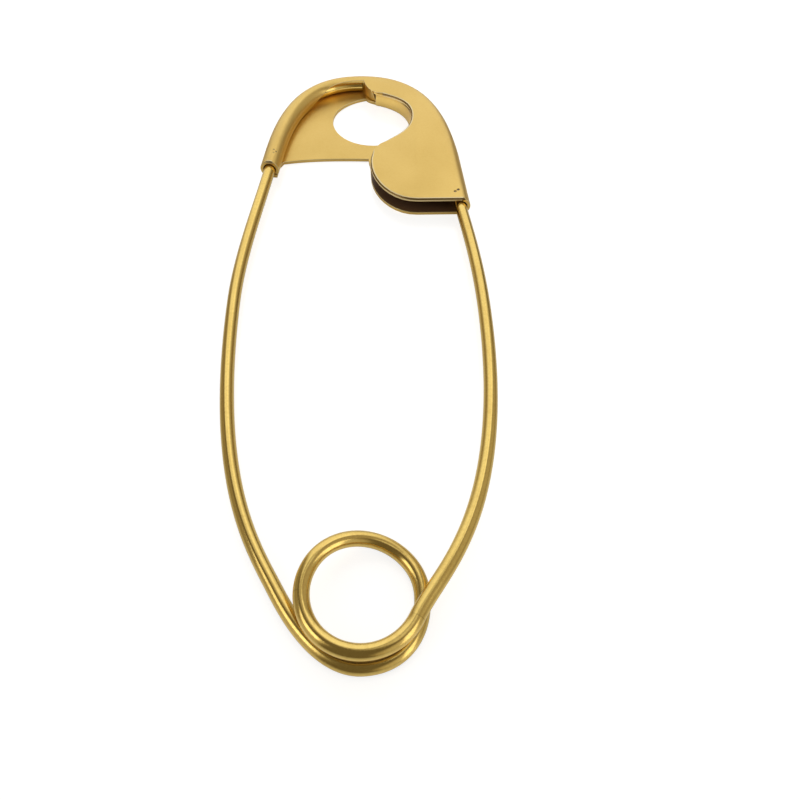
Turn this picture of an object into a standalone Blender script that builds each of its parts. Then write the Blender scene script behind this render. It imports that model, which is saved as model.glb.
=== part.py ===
"""Large brass safety pin: a folded sheet clasp and one wire bent into two arms and a spring coil.

Lengths are in metres and +Z is up. The pin lies flat on the back plate of its clasp and on the
lower turn of its coil. The outline sizes below are measured from the middle of the coil, with +Y
towards the clasp, and are moved at the end so that the origin is under the middle of the pin.
"""

import math
from dataclasses import dataclass, replace

import bmesh
import bpy
from mathutils import Vector


@dataclass(frozen=True)
class Knot:
    """A point an outline passes through, its heading in degrees and the reach of its bends."""

    x: float
    y: float
    heading: float
    before: float = 0.0
    after: float = 0.0

    def sized(self, size, foot=0.0):
        """Return this knot of shares of a size as a knot of lengths, with y from the foot."""
        reaches = (self.before * size, self.after * size)
        return Knot(self.x * size, foot + self.y * size, self.heading, *reaches)


# Sheet and wire
SHEET = 0.0010
WIRE_DIAMETER = 0.0037
PIECE_GAP = 0.0003
WIRE_RADIUS = WIRE_DIAMETER / 2
CLASP_HEIGHT = WIRE_DIAMETER + 2 * PIECE_GAP + 2 * SHEET
FOLD_RADIUS = CLASP_HEIGHT / 2
FOLD_MIDDLE_RADIUS = FOLD_RADIUS - SHEET / 2

# Clasp: its foot, from the middle of the coil to the mouth, and its length up to the crown
CLASP_FOOT = 0.1269
CLASP_LENGTH = 0.0714

# Outer edge of the clasp, from the tube round the crown to the mouth, in shares of its length
TUBE_END_SHARES = Knot(-0.473, 0.288, 83.0, after=0.266)
CROWN_SHARES = Knot(0.015, 0.999, -3.0, before=0.417, after=0.476)
MOUTH_SHARES = Knot(0.483, 0.0, -83.7, before=0.307)

# Rolled tube, the tongue of the back plate under it and the lip it opens into
TONGUE_WIDTH = 0.0053
TONGUE_ROWS = 3
LIP_WIDTH = 0.0051
SEAM_GAP = 0.0002
LIP_OPENS_SHARE = 0.56
LIP_OPEN_SHARE = 0.90

# Lower edge shared by both plates, the bridge below the hole and the lobe of the front plate
LOBE_FLAT_SHARES = Knot(0.246, 0.002, 180.0, before=0.056, after=0.118)
LOBE_SIDE_SHARES = Knot(0.040, 0.268, 90.0, before=0.133, after=0.101)
BRIDGE_CORNER_SHARES = Knot(0.030, 0.387, 177.0, before=0.042, after=0.133)
BRIDGE_END_HEADING = 190.0
BRIDGE_END_REACH_SHARE = 0.133
LOBE_SHOULDER_SHARES = Knot(0.154, 0.464, 39.0, before=0.087, after=0.073)
FRONT_RIGHT_SHARES = Knot(0.243, 0.639, 90.0, before=0.081, after=0.109)
FRONT_TOP_SHARES = Knot(0.079, 0.819, 156.0, before=0.092, after=0.035)
NOTCH_REACH_SHARE = 0.050
NOTCH_HEADING = 100.0

# Hole through the back plate, clockwise from the step beside the wall
HOLE_STEP_SHARES = Knot(0.021, 0.883, -65.0, before=0.070, after=0.017)
WALL_START_SHARES = Knot(0.068, 0.832, -17.0, before=0.025, after=0.088)
HOLE_RIGHT_SHARES = Knot(0.233, 0.632, -90.0, before=0.101, after=0.078)
HOLE_FOOT_SHARES = Knot(0.057, 0.492, 180.0, before=0.101, after=0.112)
HOLE_LEFT_SHARES = Knot(-0.146, 0.695, 90.0, before=0.112, after=0.112)
HOLE_STEP_ARRIVAL = 12.0

# Wall turned up along the right of the hole, and the tab turned down to close the wire's channel
WALL_BEND_RADIUS = 0.0007
TAB_BEND_RADIUS = 0.0
WALL_LEAN = 0.0006
TAB_LEFT_LEAN = 0.0002
TAB_RIGHT_LEAN = 0.0017
TAB_STARTS_SHARE = 0.30
TURNED_HEIGHT = CLASP_HEIGHT - SHEET - PIECE_GAP

# Spring coil, seen from above: clockwise, the upper pass first, its knots in shares of its radius
COIL_RADIUS = 0.0131
COIL_PITCH = 0.0045
COIL_START_DEGREES = -28.0
FALL_STARTS_SHARE = 0.34
FALL_ENDS_SHARE = 0.66
COIL_SIDE_SHARES = Knot(1.0, 0.0, -90.0, after=0.711)
COIL_FOOT_SHARES = Knot(-0.025, -1.133, 180.0, before=0.612, after=0.650)
COIL_LEAVES_SHARES = Knot(-1.478, 0.168, 118.8, before=0.612, after=1.047)

# Arms: how far each bows out, with the other values of its widest point in shares of CLASP_FOOT
LEFT_SPREAD = 0.0369
RIGHT_SPREAD = 0.0345
LEFT_BULGE_SHARES = Knot(0.0, 0.696, 90.0, before=0.463, after=0.150)
RIGHT_BULGE_SHARES = Knot(0.0, 0.642, 90.0, before=0.515, after=0.146)
LEFT_HEAD_REACH_SHARE = 0.150
RIGHT_HEAD_REACH_SHARE = 0.102
RIGHT_START_REACH_SHARE = 0.109
FIXED_END_X = 0.0002
POINT_DEPTH = 0.0309
TAPER_LENGTH = 0.0130
TIP_SHARE = 0.10

# Brass of the sheet and of the wire
SHEET_COLOUR = (0.76, 0.51, 0.16)
FIXED_ARM_COLOUR = (0.72, 0.47, 0.11)
COIL_COLOUR = (0.70, 0.45, 0.10)
PIN_ARM_COLOUR = (0.73, 0.48, 0.12)
SHEET_ROUGHNESS = 0.28
WIRE_ROUGHNESS = 0.22

# Steps along the curves
TUBE_STEPS = 26
RIM_STEPS = 30
FOLD_STEPS = 12
LIP_STEPS = 7
OUTLINE_STEPS = 10
SHORT_STEPS = 4
ARM_STEPS = 14
COIL_STEPS_PER_TURN = 40
BEND_STEPS = 3
WIRE_RESOLUTION = 3
WELD = 0.00001
SMOOTH_DEGREES = 35.0

# The edges of the clasp and the bends of the wire in their real sizes
TUBE_END = TUBE_END_SHARES.sized(CLASP_LENGTH, CLASP_FOOT)
CROWN = CROWN_SHARES.sized(CLASP_LENGTH, CLASP_FOOT)
MOUTH = MOUTH_SHARES.sized(CLASP_LENGTH, CLASP_FOOT)
LOBE_FLAT = LOBE_FLAT_SHARES.sized(CLASP_LENGTH, CLASP_FOOT)
LOBE_SIDE = LOBE_SIDE_SHARES.sized(CLASP_LENGTH, CLASP_FOOT)
BRIDGE_CORNER = BRIDGE_CORNER_SHARES.sized(CLASP_LENGTH, CLASP_FOOT)
LOBE_SHOULDER = LOBE_SHOULDER_SHARES.sized(CLASP_LENGTH, CLASP_FOOT)
FRONT_RIGHT = FRONT_RIGHT_SHARES.sized(CLASP_LENGTH, CLASP_FOOT)
FRONT_TOP = FRONT_TOP_SHARES.sized(CLASP_LENGTH, CLASP_FOOT)
HOLE_STEP = HOLE_STEP_SHARES.sized(CLASP_LENGTH, CLASP_FOOT)
WALL_START = WALL_START_SHARES.sized(CLASP_LENGTH, CLASP_FOOT)
HOLE_RIGHT = HOLE_RIGHT_SHARES.sized(CLASP_LENGTH, CLASP_FOOT)
HOLE_FOOT = HOLE_FOOT_SHARES.sized(CLASP_LENGTH, CLASP_FOOT)
HOLE_LEFT = HOLE_LEFT_SHARES.sized(CLASP_LENGTH, CLASP_FOOT)
COIL_SIDE = COIL_SIDE_SHARES.sized(COIL_RADIUS)
COIL_FOOT = COIL_FOOT_SHARES.sized(COIL_RADIUS)
COIL_LEAVES = COIL_LEAVES_SHARES.sized(COIL_RADIUS)
LEFT_BULGE = replace(LEFT_BULGE_SHARES.sized(CLASP_FOOT), x=-LEFT_SPREAD)
RIGHT_BULGE = replace(RIGHT_BULGE_SHARES.sized(CLASP_FOOT), x=RIGHT_SPREAD)

# The origin sits under the middle of the pin
MIDDLE_X = (RIGHT_SPREAD - LEFT_SPREAD) / 2
MIDDLE_Y = (CLASP_FOOT + CLASP_LENGTH + COIL_FOOT.y - WIRE_RADIUS) / 2
TO_FRAME = Vector((-MIDDLE_X, -MIDDLE_Y, 0.0))
COIL_LOW_Z = WIRE_RADIUS
COIL_HIGH_Z = WIRE_RADIUS + COIL_PITCH
SWING_AXIS = Vector((0.0, 0.0, COIL_LOW_Z)) + TO_FRAME


def direction(degrees):
    """Return the unit vector in the plan with this heading."""
    return Vector((math.cos(math.radians(degrees)), math.sin(math.radians(degrees))))


def smooth_step(share):
    """Return share eased at both ends and held between 0 and 1."""
    share = min(max(share, 0.0), 1.0)
    return share * share * (3 - 2 * share)


def span(start, end, steps):
    """Return the points of one bend between two knots, with its first and last point."""
    first = Vector((start.x, start.y))
    last = Vector((end.x, end.y))
    near = first + direction(start.heading) * start.after
    far = last - direction(end.heading) * end.before
    points = []
    for step in range(steps + 1):
        t = step / steps
        s = 1 - t
        points.append(s**3 * first + 3 * s * s * t * near + 3 * s * t * t * far + t**3 * last)
    return points


def trace(knots, steps):
    """Return the points through all the knots, with the given steps for each bend."""
    points = span(knots[0], knots[1], steps[0])
    for index in range(1, len(knots) - 1):
        points += span(knots[index], knots[index + 1], steps[index])[1:]
    return points


def inward_sides(points):
    """Return the unit vectors to the right of a line of points."""
    sides = []
    for index in range(len(points)):
        ahead = points[min(index + 1, len(points) - 1)]
        behind = points[max(index - 1, 0)]
        along = (ahead - behind).normalized()
        sides.append(Vector((along.y, -along.x)))
    return sides


class Rim:
    """The outer edge of the clasp and the direction from it to the inside."""

    def __init__(self):
        self.points = trace([TUBE_END, CROWN, MOUTH], [TUBE_STEPS, RIM_STEPS])
        self.sides = inward_sides(self.points)
        self.sides[0] = -direction(TUBE_END.heading + 90.0)
        self.sides[-1] = Vector((-1.0, 0.0))
        self.notch = TUBE_STEPS

    def inset(self, row, distance):
        """Return the point this far inside the edge at one row."""
        return self.points[row] + self.sides[row] * distance

    def inset_line(self, rows, distance):
        """Return the inset points of several rows."""
        return [self.inset(row, distance) for row in rows]


def roll_section(row):
    """Return the lip past the top of the fold at one row, as pairs of inset and height."""
    share = row / TUBE_STEPS
    flat = smooth_step((share - LIP_OPENS_SHARE) / (1 - LIP_OPENS_SHARE))
    opened = smooth_step((share - LIP_OPENS_SHARE) / (LIP_OPEN_SHARE - LIP_OPENS_SHARE))
    flat_length = LIP_WIDTH - FOLD_RADIUS
    closed_turn = math.pi - math.acos((FOLD_RADIUS - SHEET - SEAM_GAP) / FOLD_RADIUS)
    open_turn = math.asin(flat_length / FOLD_MIDDLE_RADIUS)
    turn = closed_turn + (open_turn - closed_turn) * opened
    section = []
    for step in range(1, LIP_STEPS + 1):
        angle = turn * step / LIP_STEPS
        across = FOLD_MIDDLE_RADIUS * math.sin(angle)
        rolled = (FOLD_RADIUS + across, FOLD_RADIUS + FOLD_MIDDLE_RADIUS * math.cos(angle))
        level = (FOLD_RADIUS + flat_length * step / LIP_STEPS, CLASP_HEIGHT - SHEET / 2)
        section.append(tuple(a + (b - a) * flat for a, b in zip(rolled, level)))
    return section


def fold_section():
    """Return the half round of the fold, from the back plate to the front, as inset and height."""
    section = []
    for step in range(FOLD_STEPS + 1):
        angle = -math.pi / 2 - math.pi * step / FOLD_STEPS
        inset = FOLD_RADIUS + FOLD_MIDDLE_RADIUS * math.cos(angle)
        section.append((inset, FOLD_RADIUS + FOLD_MIDDLE_RADIUS * math.sin(angle)))
    return section


def add_grid(sheet, rows):
    """Add a grid of faces over rows of points to the sheet."""
    made = [[sheet.verts.new(point) for point in row] for row in rows]
    for lower, upper in zip(made, made[1:]):
        for index in range(len(lower) - 1):
            sheet.faces.new((lower[index], lower[index + 1], upper[index + 1], upper[index]))


def add_flat(sheet, outlines, height):
    """Add the flat plate inside the first outline and outside the others to the sheet."""
    edges = []
    for outline in outlines:
        ring = [sheet.verts.new((point.x, point.y, height)) for point in outline]
        edges += [sheet.edges.new((a, b)) for a, b in zip(ring, ring[1:] + ring[:1])]
    bmesh.ops.triangle_fill(sheet, use_beauty=True, edges=edges, normal=(0.0, 0.0, 1.0))


def lower_edge(rim):
    """Return the edge both plates share, from beside the mouth to the side of the lobe."""
    corner = rim.inset(-1, FOLD_RADIUS)
    start = Knot(corner.x, corner.y, 180.0, after=LOBE_FLAT.before)
    return trace([start, LOBE_FLAT, LOBE_SIDE], [SHORT_STEPS, OUTLINE_STEPS])[1:]


def back_outline(rim):
    """Return the outline of the flat part of the back plate."""
    rows = range(len(rim.points))
    corner = rim.inset(TONGUE_ROWS, CLASP_HEIGHT)
    tongue = rim.inset_line(range(TONGUE_ROWS - 1, -1, -1), TONGUE_WIDTH)
    arrival = replace(BRIDGE_CORNER, heading=90.0)
    side = span(LOBE_SIDE, arrival, SHORT_STEPS)[1:]
    reach = BRIDGE_END_REACH_SHARE * CLASP_LENGTH
    end = Knot(corner.x, corner.y, BRIDGE_END_HEADING, before=reach)
    bridge = span(BRIDGE_CORNER, end, OUTLINE_STEPS)[1:]
    return rim.inset_line(rows, FOLD_RADIUS) + lower_edge(rim) + side + bridge + tongue


def turned_edge(path, radius, first_lean, last_lean):
    """Return the rows of an edge turned up from the plate, with the open side right of its path."""
    steps = BEND_STEPS if radius else 0
    rows = []
    for index, (point, side) in enumerate(zip(path, inward_sides(path))):
        lean = first_lean + (last_lean - first_lean) * index / (len(path) - 1)
        row = []
        for step in range(steps + 1):
            angle = math.pi / 2 * step / max(steps, 1)
            back = SHEET / 2 + radius * (1 - math.sin(angle))
            place = point - side * back
            row.append((place.x, place.y, SHEET / 2 + radius * (1 - math.cos(angle))))
        place = point - side * (SHEET / 2 + lean)
        row.append((place.x, place.y, TURNED_HEIGHT))
        rows.append(row)
    return rows


def nose_paths(rim):
    """Return the plain part and the turned part of the front plate's edge from its top to the lip."""
    corner = rim.inset(rim.notch, LIP_WIDTH)
    arriving = Knot(corner.x, corner.y, NOTCH_HEADING, before=NOTCH_REACH_SHARE * CLASP_LENGTH)
    nose = span(FRONT_TOP, arriving, OUTLINE_STEPS)
    start = round(TAB_STARTS_SHARE * OUTLINE_STEPS)
    return nose[:start], nose[start:-1]


def tab_rows(rim):
    """Return the rows of the tab that is turned down from the front plate."""
    turned = nose_paths(rim)[1]
    rows = turned_edge(turned[::-1], TAB_BEND_RADIUS, TAB_LEFT_LEAN, TAB_RIGHT_LEAN)
    return [[(x, y, CLASP_HEIGHT - height) for x, y, height in row] for row in rows]


def front_outline(rim):
    """Return the outline of the flat part of the front plate."""
    rows = range(rim.notch, len(rim.points))
    hole_side = [LOBE_SIDE, LOBE_SHOULDER, FRONT_RIGHT, FRONT_TOP]
    curve = trace(hole_side, [OUTLINE_STEPS, OUTLINE_STEPS, OUTLINE_STEPS])[1:]
    curve += nose_paths(rim)[0][1:]
    curve += [Vector(row[0][:2]) for row in reversed(tab_rows(rim))]
    lip = [rim.inset(rim.notch, inset) for inset, _ in reversed(roll_section(rim.notch))]
    return rim.inset_line(rows, FOLD_RADIUS) + lower_edge(rim) + curve + lip


def hole_outline(wall):
    """Return the edge of the hole in the back plate, clockwise from the start of the wall."""
    bend_line = [Vector(row[0][:2]) for row in wall]
    arrival = replace(HOLE_STEP, heading=HOLE_STEP_ARRIVAL)
    steps = [OUTLINE_STEPS, OUTLINE_STEPS, OUTLINE_STEPS]
    plain = trace([HOLE_RIGHT, HOLE_FOOT, HOLE_LEFT, arrival], steps)
    start = replace(WALL_START, x=bend_line[0].x, y=bend_line[0].y)
    return bend_line + plain[1:] + span(HOLE_STEP, start, SHORT_STEPS)[1:-1]


def make_clasp(rim, material, collection):
    """Build the clasp: one sheet folded at its rim, rolled on the left, turned up at its hole."""
    sheet = bmesh.new()
    fold = fold_section()
    strip = []
    for row in range(len(rim.points)):
        section = fold + (roll_section(row) if row <= rim.notch else [])
        strip.append([(*rim.inset(row, inset), height) for inset, height in section])
    add_grid(sheet, strip[: rim.notch + 1])
    add_grid(sheet, [row[: FOLD_STEPS + 1] for row in strip[rim.notch :]])
    walled = span(WALL_START, HOLE_RIGHT, OUTLINE_STEPS)
    wall = turned_edge(walled, WALL_BEND_RADIUS, WALL_LEAN, WALL_LEAN)
    add_grid(sheet, wall)
    add_grid(sheet, tab_rows(rim))
    add_flat(sheet, [back_outline(rim), hole_outline(wall)], SHEET / 2)
    add_flat(sheet, [front_outline(rim)], CLASP_HEIGHT - SHEET / 2)
    bmesh.ops.remove_doubles(sheet, verts=sheet.verts, dist=WELD)
    bmesh.ops.recalc_face_normals(sheet, faces=sheet.faces)
    bmesh.ops.translate(sheet, verts=sheet.verts, vec=TO_FRAME)
    mesh = bpy.data.meshes.new("clasp")
    sheet.to_mesh(mesh)
    sheet.free()
    clasp = bpy.data.objects.new("clasp", mesh)
    collection.objects.link(clasp)
    thickness = clasp.modifiers.new("sheet thickness", "SOLIDIFY")
    thickness.thickness = SHEET
    thickness.offset = 0.0
    thickness.use_even_offset = True
    thickness.use_quality_normals = True
    mesh.materials.append(material)
    return clasp


def line_lengths(points):
    """Return the distance along a line of points at each point."""
    lengths = [0.0]
    for here, there in zip(points, points[1:]):
        lengths.append(lengths[-1] + (there - here).length)
    return lengths


def at_heights(points, start_height, end_height):
    """Return plan points as space points whose height changes evenly along the line."""
    lengths = line_lengths(points)
    rise = end_height - start_height
    return [Vector((*p, start_height + rise * s / lengths[-1])) for p, s in zip(points, lengths)]


def trimmed(points, start, end):
    """Return the line shortened by these lengths at its two ends."""
    line = list(points)
    line[0] = line[0] + (line[1] - line[0]).normalized() * start
    line[-1] = line[-1] + (line[-2] - line[-1]).normalized() * end
    return line


def coil_line():
    """Return the middle line of the coil, from the pin arm round to the fixed arm."""
    sweep = 360.0 + COIL_START_DEGREES
    steps = round(COIL_STEPS_PER_TURN * sweep / 360.0)
    line = []
    for step in range(steps + 1):
        angle = COIL_START_DEGREES - sweep * step / steps
        turned = (-90.0 - angle) / 360.0
        fallen = smooth_step((turned - FALL_STARTS_SHARE) / (FALL_ENDS_SHARE - FALL_STARTS_SHARE))
        line.append(Vector((*direction(angle) * COIL_RADIUS, COIL_HIGH_Z - COIL_PITCH * fallen)))
    lower = trace([COIL_SIDE, COIL_FOOT, COIL_LEAVES], [OUTLINE_STEPS, OUTLINE_STEPS])
    return line + [Vector((*plan, COIL_LOW_Z)) for plan in lower[1:]]


def fixed_arm_line(rim):
    """Return the middle line of the fixed arm, from the coil to its end inside the clasp."""
    inside = [row for row in range(rim.notch) if rim.points[row].x < FIXED_END_X]
    held = rim.inset_line(inside, FOLD_RADIUS)
    beyond = rim.inset(inside[-1] + 1, FOLD_RADIUS)
    held.append(held[-1].lerp(beyond, (FIXED_END_X - held[-1].x) / (beyond.x - held[-1].x)))
    reach = LEFT_HEAD_REACH_SHARE * CLASP_FOOT
    head = Knot(held[0].x, held[0].y, TUBE_END.heading, before=reach)
    free = trace([COIL_LEAVES, LEFT_BULGE, head], [ARM_STEPS, ARM_STEPS])
    line = at_heights(free, COIL_LOW_Z, FOLD_RADIUS)
    return line + [Vector((*plan, FOLD_RADIUS)) for plan in held[1:]]


def pin_arm_line(rim):
    """Return the middle line of the pin arm, from the coil to its point inside the clasp."""
    last = len(rim.points) - 1
    point_y = MOUTH.y + POINT_DEPTH
    inside = [row for row in range(last, rim.notch, -1) if rim.points[row].y < point_y]
    held = rim.inset_line(inside, FOLD_RADIUS)
    plan = direction(COIL_START_DEGREES) * COIL_RADIUS
    leaving = RIGHT_START_REACH_SHARE * CLASP_FOOT
    arriving = RIGHT_HEAD_REACH_SHARE * CLASP_FOOT
    start = Knot(plan.x, plan.y, COIL_START_DEGREES + 90.0, after=leaving)
    head = Knot(held[0].x, held[0].y, MOUTH.heading + 180.0, before=arriving)
    free = trace([start, RIGHT_BULGE, head], [ARM_STEPS, ARM_STEPS])
    line = at_heights(free, COIL_HIGH_Z, FOLD_RADIUS)
    return line + [Vector((*plan, FOLD_RADIUS)) for plan in held[1:]]


def make_wire(name, line, origin, material, collection, taper=0.0):
    """Build a round wire along the line, pointed over the taper length at its far end."""
    lengths = line_lengths(line)
    curve = bpy.data.curves.new(name, "CURVE")
    curve.dimensions = "3D"
    curve.bevel_depth = WIRE_RADIUS
    curve.bevel_resolution = WIRE_RESOLUTION
    curve.use_fill_caps = True
    spline = curve.splines.new("POLY")
    spline.points.add(len(line) - 1)
    for knot, place, length in zip(spline.points, line, lengths):
        knot.co = (*(place + TO_FRAME - origin), 1.0)
        if taper:
            share = min((lengths[-1] - length) / taper, 1.0)
            knot.radius = TIP_SHARE + (1 - TIP_SHARE) * math.sin(math.pi / 2 * share)
    holder = bpy.data.objects.new(name, curve)
    collection.objects.link(holder)
    bpy.context.view_layer.update()
    mesh = bpy.data.meshes.new_from_object(holder)
    bpy.data.objects.remove(holder)
    bpy.data.curves.remove(curve)
    welded = bmesh.new()
    welded.from_mesh(mesh)
    bmesh.ops.remove_doubles(welded, verts=welded.verts, dist=WELD)
    bmesh.ops.recalc_face_normals(welded, faces=welded.faces)
    welded.to_mesh(mesh)
    welded.free()
    mesh.materials.clear()
    mesh.materials.append(material)
    wire = bpy.data.objects.new(name, mesh)
    wire.location = origin
    collection.objects.link(wire)
    return wire


def densified(line, length, steps):
    """Return the line with its last length cut into even steps."""
    lengths = line_lengths(line)
    places = [(lengths[-1] - length) + length * step / steps for step in range(steps + 1)]
    kept = [point for point, s in zip(line, lengths) if s < places[0]]
    for place in places:
        index = max(i for i, s in enumerate(lengths[:-1]) if s <= place)
        share = (place - lengths[index]) / (lengths[index + 1] - lengths[index])
        kept.append(line[index].lerp(line[index + 1], share))
    return kept


def least_gap(line):
    """Return the least gap of the coil to its own other turn, from the points of its line."""
    half_turn = math.pi * COIL_RADIUS
    lengths = line_lengths(line)
    least = math.inf
    for i, here in enumerate(line):
        for j in range(i + 1, len(line)):
            if lengths[j] - lengths[i] > half_turn:
                least = min(least, (line[j] - here).length)
    return least - WIRE_DIAMETER


def brass(name, colour, roughness):
    """Return a brass material of its own for one piece."""
    material = bpy.data.materials.new(name)
    material.use_nodes = True
    shader = material.node_tree.nodes["Principled BSDF"]
    shader.inputs["Base Color"].default_value = (*colour, 1.0)
    shader.inputs["Metallic"].default_value = 1.0
    shader.inputs["Roughness"].default_value = roughness
    return material


def smooth_shading(piece):
    """Shade the piece smooth but keep its cut edges sharp."""
    piece.data.shade_smooth()
    piece.data.set_sharp_from_angle(angle=math.radians(SMOOTH_DEGREES))


def main():
    """Build every piece of the pin."""
    for old in list(bpy.data.objects):
        bpy.data.objects.remove(old)
    parts = bpy.data.collections.new("safety pin")
    bpy.context.scene.collection.children.link(parts)
    rim = Rim()
    sheet_brass = brass("sheet brass", SHEET_COLOUR, SHEET_ROUGHNESS)
    arm_brass = brass("fixed arm brass", FIXED_ARM_COLOUR, WIRE_ROUGHNESS)
    coil_brass = brass("coil brass", COIL_COLOUR, WIRE_ROUGHNESS)
    pin_brass = brass("pin arm brass", PIN_ARM_COLOUR, WIRE_ROUGHNESS)
    half_gap = PIECE_GAP / 2
    coil = coil_line()
    pin = pin_arm_line(rim)
    pin_origin = pin[0] + TO_FRAME
    fixed = trimmed(fixed_arm_line(rim), half_gap, 0.0)
    pin = densified(trimmed(pin, half_gap, 0.0), TAPER_LENGTH, OUTLINE_STEPS)
    still = Vector((0.0, 0.0, 0.0))
    pieces = [
        make_clasp(rim, sheet_brass, parts),
        make_wire("fixed_arm", fixed, still, arm_brass, parts),
        make_wire("spring_coil", trimmed(coil, half_gap, half_gap), SWING_AXIS, coil_brass, parts),
        make_wire("pin_arm", pin, pin_origin, pin_brass, parts, TAPER_LENGTH),
    ]
    for piece in pieces:
        smooth_shading(piece)
    print(f"least gap of the coil to itself: {least_gap(coil) * 1000:.2f} mm")
    print("lift axis at", [round(value, 5) for value in pin_origin])
    print("swing axis at", [round(value, 5) for value in SWING_AXIS])


main()
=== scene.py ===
"""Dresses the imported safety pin: polished sheet clasp, drawn wire, floor, light and camera."""

import logging
import math
from collections.abc import Callable
from dataclasses import dataclass, field, replace
from enum import Enum

import bmesh
import bpy
from mathutils import Matrix, Vector

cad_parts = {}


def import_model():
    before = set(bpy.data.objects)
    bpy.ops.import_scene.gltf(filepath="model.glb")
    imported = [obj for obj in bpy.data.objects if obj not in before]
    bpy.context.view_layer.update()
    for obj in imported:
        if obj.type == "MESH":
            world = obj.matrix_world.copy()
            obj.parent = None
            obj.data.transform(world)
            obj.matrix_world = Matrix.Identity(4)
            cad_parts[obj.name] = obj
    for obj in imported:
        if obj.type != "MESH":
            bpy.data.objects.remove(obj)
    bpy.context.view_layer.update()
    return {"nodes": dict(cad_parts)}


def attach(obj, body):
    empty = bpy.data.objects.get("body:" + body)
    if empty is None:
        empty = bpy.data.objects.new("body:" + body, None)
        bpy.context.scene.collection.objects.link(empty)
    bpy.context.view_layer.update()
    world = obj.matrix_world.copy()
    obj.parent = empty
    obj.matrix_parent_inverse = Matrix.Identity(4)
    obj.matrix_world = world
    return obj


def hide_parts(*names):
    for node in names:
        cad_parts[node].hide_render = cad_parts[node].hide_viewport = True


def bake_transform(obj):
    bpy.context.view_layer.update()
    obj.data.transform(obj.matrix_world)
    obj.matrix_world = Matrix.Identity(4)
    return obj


log = logging.getLogger("safety_pin")

MERGE = 0.00001
LINE_DETAIL = 2.0
LINE_CONTRAST = 6.0
CLOUD_DETAIL = 4.0
CLOUD_LIMITS = (0.35, 0.7)
SPECKLE_DETAIL = 3.0
SPECKLE_LIMITS = (0.4, 0.7)
SPECKLE_DULLS_SHARE = 0.5
PIT_LIMITS = (0.3, 1.0)
WHITE = (1.0, 1.0, 1.0, 1.0)
# Face attributes: a painted highlight on worn edges, and a painted shade on the rolled edge.
WORN_HIGHLIGHT = "worn_highlight_edge"
ROLLED_SHADE = "rolled_shade_edge"


class Body(Enum):
    """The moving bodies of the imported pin."""

    CLASP = "clasp_and_fixed_arm"
    COIL = "coil"
    PIN = "pin_arm"


class Slot(Enum):
    """The material slots of the record."""

    SHEET = "sheet_brass"
    ARM = "fixed_arm_brass"
    COIL = "coil_brass"
    PIN = "pin_brass"


@dataclass(frozen=True)
class Knot:
    """A point that a line in the plan passes through.

    Args:
        x: Place across the pin.
        y: Place along the pin.
        heading: Direction of the line in degrees, from +X.
        before: Reach of the bend that arrives.
        after: Reach of the bend that leaves.
    """

    x: float
    y: float
    heading: float
    before: float = 0.0
    after: float = 0.0

    def sized(self, size: float, foot: float = 0.0) -> "Knot":
        """Turn a knot of shares into a knot of lengths.

        Args:
            size: The length that the shares are shares of.
            foot: Where the shares along the pin are measured from.

        Returns:
            The knot in metres, from the middle of the coil.
        """
        reaches = (self.before * size, self.after * size)
        return Knot(self.x * size, foot + self.y * size, self.heading, *reaches)


def direction(degrees: float) -> Vector:
    """Return the unit vector in the plan with this heading."""
    return Vector((math.cos(math.radians(degrees)), math.sin(math.radians(degrees))))


def smooth_step(share: float) -> float:
    """Return the share eased at both ends and held between 0 and 1."""
    share = min(max(share, 0.0), 1.0)
    return share * share * (3 - 2 * share)


def bend(start: Knot, end: Knot, steps: int) -> list[Vector]:
    """Return the points of one bend between two knots.

    Args:
        start: Knot where the bend begins.
        end: Knot where the bend ends.
        steps: Number of straight steps along the bend.

    Returns:
        The points of the plan, with the first and the last.
    """
    first, last = Vector((start.x, start.y)), Vector((end.x, end.y))
    near = first + direction(start.heading) * start.after
    far = last - direction(end.heading) * end.before
    points = []
    for step in range(steps + 1):
        t = step / steps
        s = 1 - t
        points.append(s**3 * first + 3 * s * s * t * near + 3 * s * t * t * far + t**3 * last)
    return points


def deselect_all() -> None:
    """Leave nothing selected, so that an operator acts only on its own piece."""
    for obj in bpy.context.selected_objects:
        obj.select_set(False)


def make_active(obj: bpy.types.Object) -> None:
    """Select one object alone and make it active.

    Args:
        obj: The object that the next operators act on.
    """
    deselect_all()
    obj.select_set(True)
    bpy.context.view_layer.objects.active = obj


def new_group(name: str, inputs: dict[str, float], outputs: dict[str, str]) -> bpy.types.NodeTree:
    """Make an empty shader node group.

    Args:
        name: Name of the group.
        inputs: Number inputs and their default values.
        outputs: Output names and their socket types.

    Returns:
        The group's node tree, with its input and output nodes.
    """
    tree = bpy.data.node_groups.new(name, "ShaderNodeTree")
    for title, value in inputs.items():
        socket = tree.interface.new_socket(title, in_out="INPUT", socket_type="NodeSocketFloat")
        socket.default_value = value
    for title, kind in outputs.items():
        tree.interface.new_socket(title, in_out="OUTPUT", socket_type=kind)
    tree.nodes.new("NodeGroupInput").name = "inputs"
    tree.nodes.new("NodeGroupOutput").name = "outputs"
    return tree


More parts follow.
